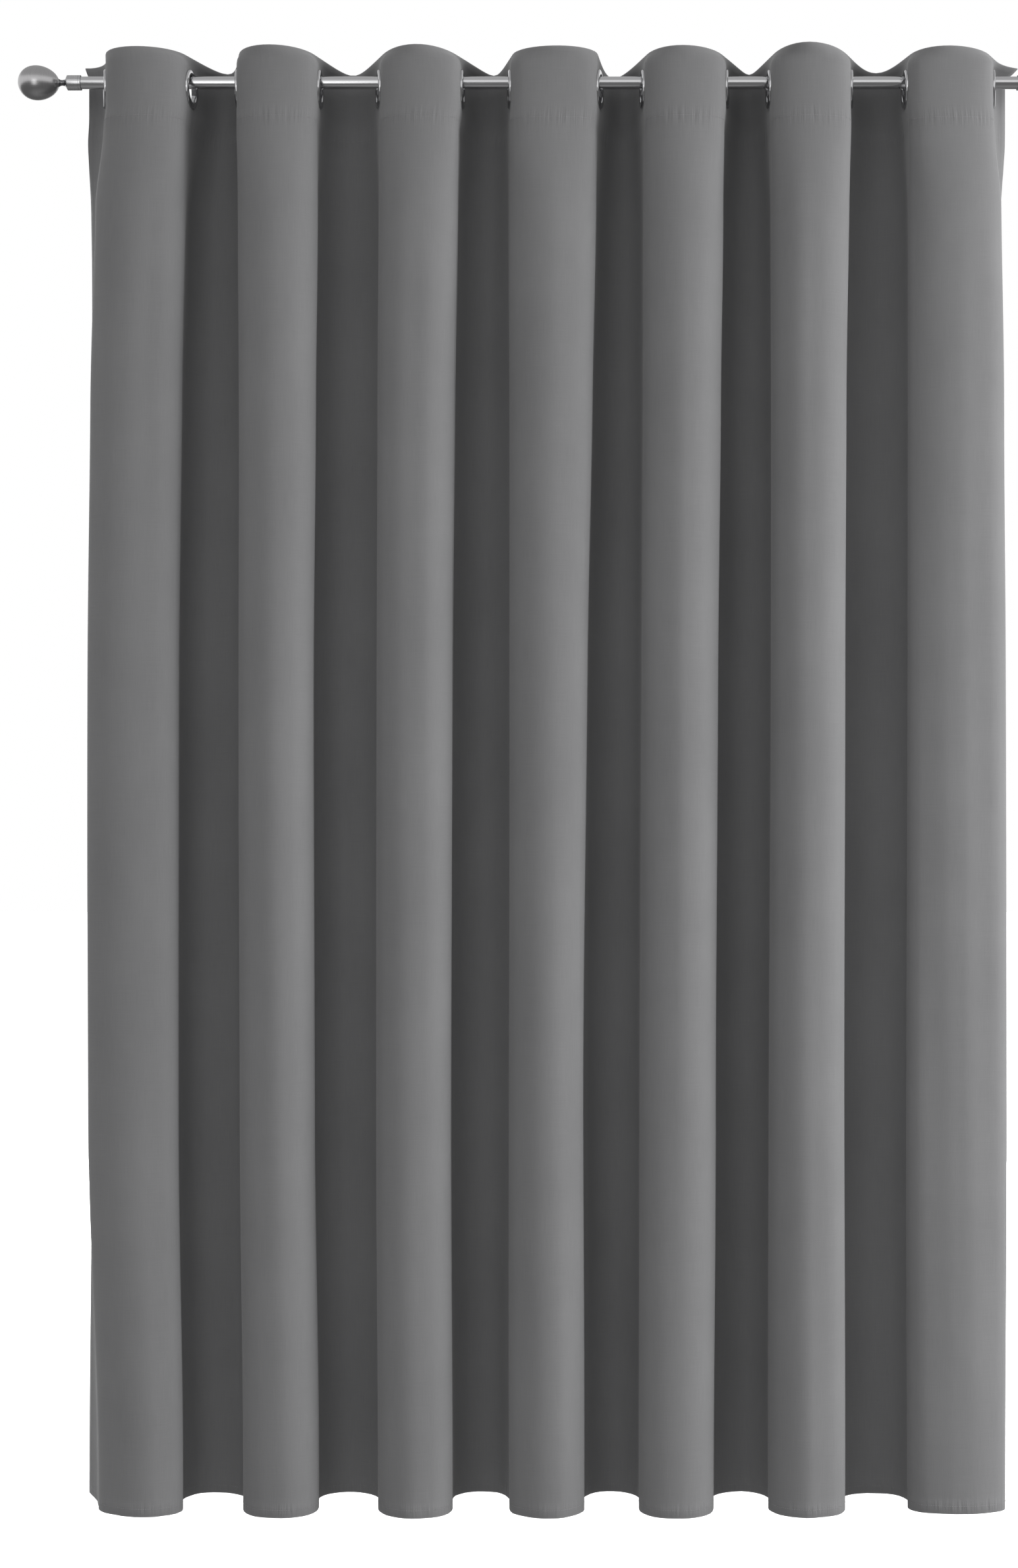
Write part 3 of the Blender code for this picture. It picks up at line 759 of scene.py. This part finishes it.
def blackout_cloth():
    """Close plain weave. Its pattern lies on the flat cloth, by the cloth's own UV map."""
    material, tree, shader = new_material("blackout_cloth")
    link = tree.links.new
    shader.inputs["Roughness"].default_value = 0.72
    shader.inputs["Sheen Weight"].default_value = 0.25
    shader.inputs["Sheen Roughness"].default_value = 0.45
    shader.inputs["Specular IOR Level"].default_value = 0.35
    flat = tree.nodes.new("ShaderNodeUVMap")
    flat.uv_map = "cloth"
    split = tree.nodes.new("ShaderNodeSeparateXYZ")
    link(flat.outputs["UV"], split.inputs["Vector"])

    def math_node(operation, a, b=None, c=None):
        made = tree.nodes.new("ShaderNodeMath")
        made.operation = operation
        for socket, value in zip(made.inputs, (a, b, c)):
            if isinstance(value, (int, float)):
                socket.default_value = value
            elif value is not None:
                link(value, socket)
        return made.outputs["Value"]

    def noise(scale, detail=3.0, roughness=0.55):
        stretch = add_node(tree, "ShaderNodeMapping", Scale=scale)
        made = add_node(tree, "ShaderNodeTexNoise", Scale=1.0, Detail=detail, Roughness=roughness)
        link(flat.outputs["UV"], stretch.inputs["Vector"])
        link(stretch.outputs["Vector"], made.inputs["Vector"])
        return made.outputs["Fac"]

    # the weave: warp and weft threads pass over each other by turns
    turns = math.tau / (2 * THREAD_PITCH)
    warp = math_node("SINE", math_node("MULTIPLY", split.outputs["X"], turns))
    weft = math_node("SINE", math_node("MULTIPLY", split.outputs["Y"], turns))
    weave = math_node("MULTIPLY", warp, weft)
    slubs_down = noise((1400.0, 26.0, 1.0), 4.0)
    slubs_across = noise((22.0, 1500.0, 1.0), 4.0)
    mottle = noise((9.0, 5.0, 1.0), 3.0)

    # sewing pulls the cloth into short upright puckers along each seam
    def pucker(seam, spread):
        away = math_node("DIVIDE", math_node("SUBTRACT", split.outputs["Y"], seam), spread)
        square = math_node("MULTIPLY", away, away)
        near = math_node("EXPONENT", math_node("MULTIPLY", square, -1.0))
        return math_node("MULTIPLY", near, noise((150.0, 9.0, 1.0), 2.0))

    puckers = math_node(
        "ADD", pucker(HEADER_SEAM, HEADER_PUCKER), pucker(DROP - HEM_SEAM, HEM_PUCKER))

    # colour: threads a little lighter and darker, rubbed paler along the folded edges
    slubs = math_node("MULTIPLY_ADD", slubs_down, 0.30, math_node("MULTIPLY", slubs_across, 0.22))
    uneven = math_node("MULTIPLY_ADD", weave, 0.05, math_node("MULTIPLY", mottle, 0.30))
    from_top = math_node("ABSOLUTE", split.outputs["Y"])
    from_bottom = math_node("ABSOLUTE", math_node("SUBTRACT", split.outputs["Y"], DROP))
    from_fold = math_node("MINIMUM", from_top, from_bottom)
    rubbed = math_node("EXPONENT", math_node("DIVIDE", from_fold, -RUBBED_EDGE))
    tone = math_node("MULTIPLY_ADD", rubbed, 0.35, math_node("ADD", slubs, uneven))
    ramp = tree.nodes.new("ShaderNodeValToRGB")
    ramp.color_ramp.elements[0].position = 0.15
    ramp.color_ramp.elements[0].color = DARK_GREY
    ramp.color_ramp.elements[1].position = 0.95
    ramp.color_ramp.elements[1].color = PALE_GREY
    link(tone, ramp.inputs["Fac"])
    link(ramp.outputs["Color"], shader.inputs["Base Color"])

    threads = add_node(tree, "ShaderNodeBump", Strength=0.55, Distance=0.00008)
    relief = math_node("ADD", weave, math_node("ADD", slubs_down, slubs_across))
    link(relief, threads.inputs["Height"])
    gathered = add_node(tree, "ShaderNodeBump", Strength=1.0, Distance=0.0022)
    link(puckers, gathered.inputs["Height"])
    link(gathered.outputs["Normal"], threads.inputs["Normal"])
    link(threads.outputs["Normal"], shader.inputs["Normal"])
    return material


def half_turn(radius, steps, upwards):
    """A fold's half circle as (offset, height) from its middle, face side last if up."""
    way = 1 if upwards else -1
    angles = [math.pi * k / (steps + 1) for k in range(1, steps + 1)]
    return [(-way * radius * math.cos(a), way * radius * math.sin(a)) for a in angles]


def cloth_rows():
    """Every row of the cloth from the folded header's hidden edge to the hem's."""
    turn = cloth_offset + CLOTH_THICKNESS / 2
    header = np.arange(turn + 0.0005, 0.101, 0.0061)
    below = np.concatenate([
        header, [0.105, HEADER_DEPTH, 0.121, 0.132, 0.146, 0.163],
        np.linspace(0.183, DROP - 0.060, 88),
        [DROP - 0.040, DROP - 0.026, DROP - 0.016, DROP - 0.008]])
    rows = [(d, -cloth_offset, 0.0, -d) for d in [HEADER_DEPTH, 0.107, *header[::-1]]]
    rows += [(turn, o, h, 0.0) for o, h in half_turn(cloth_offset, 3, upwards=True)]
    rows += [(d, cloth_offset, 0.0, d) for d in below]
    hem_top = DROP - hem_radius - CLOTH_THICKNESS / 2
    rows.append((hem_top, cloth_offset, 0.0, hem_top))
    rows += [
        (hem_top, cloth_offset - hem_radius + o, h, DROP)
        for o, h in half_turn(hem_radius, 3, upwards=False)]
    inside = cloth_offset - 2 * hem_radius
    rows += [(d, inside, 0.0, 2 * DROP - d) for d in (hem_top, DROP - 0.008, DROP - HEM_DEPTH)]
    return rows


grey_cloth = blackout_cloth()
cloth = hung_sheet("curtain_cloth", shape, cloth_rows(), CLOTH_THICKNESS, grey_cloth)
plain_mesh(cloth)
cloth.data.shade_smooth()
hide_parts("curtain_fabric")
gathers(cloth)


# ------------------------------------------------------------------------- side hems
# Down each side the cloth is turned back on itself once, in a narrow strip on the wrong
# side, from under the header to above the bottom hem.
SIDE_HEM_WIDTH = 0.014
SIDE_HEM_GAP = 0.0001
SIDE_HEM_ROWS = 100

hem_depths = np.linspace(HEADER_DEPTH + 0.004, DROP - HEM_DEPTH - 0.003, SIDE_HEM_ROWS)
side_offset = cloth_offset - CLOTH_THICKNESS - SIDE_HEM_GAP
hem_rows = [(d, side_offset, 0.0, d) for d in hem_depths]
hem_across = np.linspace(0.0004, SIDE_HEM_WIDTH, 6)
for label, lengths in (("left", hem_across), ("right", (flat_width - hem_across)[::-1])):
    side_hem = hung_sheet(
        f"side_hem_{label}", HungShape(lengths), hem_rows, CLOTH_THICKNESS, grey_cloth)
    plain_mesh(side_hem)
    gathers(side_hem)


# --------------------------------------------------------------------------- threads
# Grey polyester thread holds the header, the hem and both side hems. It is a lockstitch,
# so that the same short stitches show on the face and on the wrong side.
STITCH_PITCH = 0.0036
STITCH_LENGTH = 0.0031
STITCH_UNEVENNESS = 0.18
THREAD_RADIUS = 0.00030
SIDE_SEAM = 0.012  # from each side edge
SEAM_END = 0.002  # the seams stop this far from the side edges
SEAM_STEPS = 1400
SIDE_SEAM_STEPS = 240

thread, thread_tree, thread_shader = new_material("polyester_thread")
thread_shader.inputs["Roughness"].default_value = 0.5
thread_shader.inputs["Sheen Weight"].default_value = 0.4
twist = add_node(thread_tree, "ShaderNodeTexNoise", Scale=2500.0, Detail=3.0)
twist_ramp = thread_tree.nodes.new("ShaderNodeValToRGB")
twist_ramp.color_ramp.elements[0].color = (0.16, 0.16, 0.165, 1.0)
twist_ramp.color_ramp.elements[1].color = (0.27, 0.27, 0.275, 1.0)
twist_bump = add_node(thread_tree, "ShaderNodeBump", Strength=0.5, Distance=0.00006)
thread_tree.links.new(twist.outputs["Fac"], twist_ramp.inputs["Fac"])
thread_tree.links.new(twist_ramp.outputs["Color"], thread_shader.inputs["Base Color"])
thread_tree.links.new(twist.outputs["Fac"], twist_bump.inputs["Height"])
thread_tree.links.new(twist_bump.outputs["Normal"], thread_shader.inputs["Normal"])


def stitch_tree():
    """Sets a short padded stitch at every pitch along the given seam lines."""
    tree = bpy.data.node_groups.new("lockstitch", "GeometryNodeTree")
    tree.interface.new_socket("Seam", in_out="INPUT", socket_type="NodeSocketGeometry")
    for name in ("Pitch", "Length", "Radius", "Unevenness"):
        tree.interface.new_socket(name, in_out="INPUT", socket_type="NodeSocketFloat")
    tree.interface.new_socket("Thread", in_out="INPUT", socket_type="NodeSocketMaterial")
    tree.interface.new_socket("Stitches", in_out="OUTPUT", socket_type="NodeSocketGeometry")
    given = tree.nodes.new("NodeGroupInput")
    result = tree.nodes.new("NodeGroupOutput")
    seam = tree.nodes.new("GeometryNodeMeshToCurve")
    spaced = tree.nodes.new("GeometryNodeResampleCurve")
    spaced.mode = "LENGTH"
    along = tree.nodes.new("GeometryNodeInputTangent")
    aim = tree.nodes.new("FunctionNodeAlignRotationToVector")
    aim.axis = "Z"
    stitch = tree.nodes.new("GeometryNodeMeshUVSphere")
    stitch.inputs["Segments"].default_value = 5
    stitch.inputs["Rings"].default_value = 4
    stitch.inputs["Radius"].default_value = 1.0
    size = tree.nodes.new("ShaderNodeCombineXYZ")
    half = tree.nodes.new("ShaderNodeMath")
    half.operation = "MULTIPLY"
    half.inputs[1].default_value = 0.5
    shaped = tree.nodes.new("GeometryNodeTransform")
    uneven = tree.nodes.new("FunctionNodeRandomValue")
    uneven.inputs["Seed"].default_value = 7
    least = tree.nodes.new("ShaderNodeMath")
    least.operation = "SUBTRACT"
    least.inputs[0].default_value = 1.0
    sewn = tree.nodes.new("GeometryNodeInstanceOnPoints")
    real = tree.nodes.new("GeometryNodeRealizeInstances")
    smooth = tree.nodes.new("GeometryNodeSetShadeSmooth")
    coloured = tree.nodes.new("GeometryNodeSetMaterial")
    link = tree.links.new
    link(given.outputs["Seam"], seam.inputs["Mesh"])
    link(seam.outputs["Curve"], spaced.inputs["Curve"])
    link(given.outputs["Pitch"], spaced.inputs["Length"])
    link(along.outputs["Tangent"], aim.inputs["Vector"])
    link(given.outputs["Length"], half.inputs[0])
    link(given.outputs["Radius"], size.inputs["X"])
    link(given.outputs["Radius"], size.inputs["Y"])
    link(half.outputs["Value"], size.inputs["Z"])
    link(stitch.outputs["Mesh"], shaped.inputs["Geometry"])
    link(size.outputs["Vector"], shaped.inputs["Scale"])
    link(given.outputs["Unevenness"], least.inputs[1])
    link(least.outputs["Value"], uneven.inputs[2])
    link(spaced.outputs["Curve"], sewn.inputs["Points"])
    link(shaped.outputs["Geometry"], sewn.inputs["Instance"])
    link(aim.outputs["Rotation"], sewn.inputs["Rotation"])
    link(uneven.outputs[1], sewn.inputs["Scale"])
    link(sewn.outputs["Instances"], real.inputs["Geometry"])
    link(real.outputs["Geometry"], smooth.inputs["Geometry"])
    link(smooth.outputs["Geometry"], coloured.inputs["Geometry"])
    link(given.outputs["Thread"], coloured.inputs["Material"])
    link(coloured.outputs["Geometry"], result.inputs["Stitches"])
    return tree


def seam_across(depth, offset):
    """A line across the whole cloth at one depth."""
    plan, normals = seam_shape.at(depth)
    plan = plan + normals * offset
    return np.column_stack([plan, np.full(len(plan), top_z - depth)])


def seam_down(side_shape, offset):
    """A line down the middle column of a three-column shape."""
    line = []
    for depth in np.linspace(HEADER_SEAM, DROP - HEM_SEAM, SIDE_SEAM_STEPS):
        plan, normals = side_shape.at(depth)
        line.append((*(plan[1] + normals[1] * offset), top_z - depth))
    return np.array(line)


def sewn_seam(name, lines, tree):
    """Stitches along the lines, as one plain mesh that hangs with the cloth."""
    mesh = bpy.data.meshes.new(name)
    edges, start = [], 0
    for line in lines:
        edges += [(start + k, start + k + 1) for k in range(len(line) - 1)]
        start += len(line)
    mesh.from_pydata(np.vstack(lines).tolist(), edges, [])
    piece = put_in_scene(name, mesh, thread)
    sewing = piece.modifiers.new("lockstitch", "NODES")
    sewing.node_group = tree
    sockets = {
        item.name: item.identifier for item in tree.interface.items_tree
        if item.in_out == "INPUT"}
    sewing[sockets["Pitch"]] = STITCH_PITCH
    sewing[sockets["Length"]] = STITCH_LENGTH
    sewing[sockets["Radius"]] = THREAD_RADIUS
    sewing[sockets["Unevenness"]] = STITCH_UNEVENNESS
    sewing[sockets["Thread"]] = thread
    plain_mesh(piece)
    gathers(piece)


lockstitch = stitch_tree()
face = cloth_offset + CLOTH_THICKNESS / 2
hem_back = cloth_offset - 2 * hem_radius - CLOTH_THICKNESS / 2
side_back = side_offset - CLOTH_THICKNESS / 2
seam_shape = HungShape(np.linspace(SEAM_END, flat_width - SEAM_END, SEAM_STEPS))
side_shapes = [
    HungShape(np.array([-0.002, 0.0, 0.002]) + at) for at in (SIDE_SEAM, flat_width - SIDE_SEAM)]
seams = {
    "header_stitches": [seam_across(HEADER_SEAM, offset) for offset in (face, -face)],
    "hem_stitches": [seam_across(DROP - HEM_SEAM, offset) for offset in (face, hem_back)],
    "side_stitches": [
        seam_down(side, offset) for side in side_shapes for offset in (face, side_back)],
}
for name, lines in seams.items():
    sewn_seam(name, lines, lockstitch)


# --------------------------------------------------------------------------- setting
# A pale floor just under the hem, in a plain white room. Soft lights stand to the right,
# so that the hollows between the folds stay in shade, and behind, with a weak one in front.
FLOOR_GAP = 0.020
FLOOR_SIZE = 60.0
FLOOR_GLOW = 0.70
ROOM_BANDS = (  # how bright the room is, from straight down to straight up
    (0.0, 0.30), (0.10, 0.17), (0.42, 0.17), (0.50, 0.98), (0.72, 0.98), (0.80, 0.50), (1.0, 0.50))
LIGHT_DISTANCE = 4.0
LIGHT_RISE = 0.2
LIGHT_SIZE = (1.2, 2.4)

bpy.ops.mesh.primitive_plane_add(size=FLOOR_SIZE, location=(0, 0, cloth_low.z - FLOOR_GAP))
floor = bpy.context.object
floor.name = "floor"
floor_paint, _, floor_shader = new_material("pale_floor")
floor_shader.inputs["Base Color"].default_value = (0.93, 0.93, 0.93, 1.0)
floor_shader.inputs["Roughness"].default_value = 0.9
floor_shader.inputs["Emission Color"].default_value = (1.0, 1.0, 1.0, 1.0)
floor_shader.inputs["Emission Strength"].default_value = FLOOR_GLOW
floor.data.materials.append(floor_paint)
floor.visible_diffuse = False  # its glow doesn't light the curtain
floor.visible_glossy = False

# the room is brightest around eye level, dim towards the floor, and plain white behind
world = bpy.data.worlds.new("studio")
world.use_nodes = True
sky = world.node_tree
bearing = sky.nodes.new("ShaderNodeTexCoord")
parts = sky.nodes.new("ShaderNodeSeparateXYZ")
height = add_node(sky, "ShaderNodeMapRange", From_Min=-1.0, From_Max=1.0)
bands = sky.nodes.new("ShaderNodeValToRGB")
for position, _ in ROOM_BANDS[1:-1]:
    bands.color_ramp.elements.new(position)
for stop, (_, level) in zip(bands.color_ramp.elements, ROOM_BANDS):
    stop.color = (level, level, level, 1.0)
seen = sky.nodes.new("ShaderNodeLightPath")
white_behind = sky.nodes.new("ShaderNodeMix")
white_behind.data_type = "RGBA"
sky.links.new(bearing.outputs["Generated"], parts.inputs["Vector"])
sky.links.new(parts.outputs["Z"], height.inputs["Value"])
sky.links.new(height.outputs["Result"], bands.inputs["Fac"])
sky.links.new(bands.outputs["Color"], white_behind.inputs[6])
sky.links.new(seen.outputs["Is Camera Ray"], white_behind.inputs[0])
white_behind.inputs[7].default_value = (1.0, 1.0, 1.0, 1.0)
sky.links.new(white_behind.outputs[2], sky.nodes["Background"].inputs["Color"])
bpy.context.scene.world = world


def soft_light(name, bearing, power, mirrored=True):
    """A soft light aimed at the curtain's middle, bearing degrees round to the right from
    its front. Metal shows no reflection of one that isn't mirrored."""
    aim = Vector((0, 0, (top_z + cloth_low.z) / 2))
    turn = math.radians(bearing)
    place = aim + Vector((
        LIGHT_DISTANCE * math.sin(turn), -LIGHT_DISTANCE * math.cos(turn), LIGHT_RISE))
    lamp = bpy.data.lights.new(name, "AREA")
    lamp.shape = "RECTANGLE"
    lamp.size, lamp.size_y = LIGHT_SIZE
    lamp.energy = power
    holder = bpy.data.objects.new(name, lamp)
    holder.location = place
    holder.rotation_euler = (aim - place).to_track_quat("-Z", "Y").to_euler()
    holder.visible_glossy = mirrored
    bpy.context.scene.collection.objects.link(holder)


soft_light("right_near", 65, 80, mirrored=False)
soft_light("right_far", 78, 94, mirrored=False)
soft_light("left_fill", -20, 14)
soft_light("back_right", 150, 150, mirrored=False)
soft_light("back_left", -150, 110, mirrored=False)

# the camera stands a little below the curtain's middle and looks straight ahead
CAMERA_LENS = 47.98  # mm, on film 36 mm high
CAMERA_DISTANCE = 3.24  # from the folds' fronts
CAMERA_DROP = 1.203  # below the pole
CAMERA_SIDE = -0.0635  # a little to the left of the pole's middle
CAMERA_SHIFT = 0.0391

camera = bpy.data.cameras.new("camera")
camera.sensor_width = 36.0
camera.lens = CAMERA_LENS
camera.shift_y = CAMERA_SHIFT
viewer = bpy.data.objects.new("camera", camera)
viewer.location = (CAMERA_SIDE, cloth_low.y - CAMERA_DISTANCE, -CAMERA_DROP)
viewer.rotation_euler = (math.radians(90), 0, 0)
bpy.context.scene.collection.objects.link(viewer)
bpy.context.scene.camera = viewer
bpy.context.scene.view_settings.view_transform = "Standard"
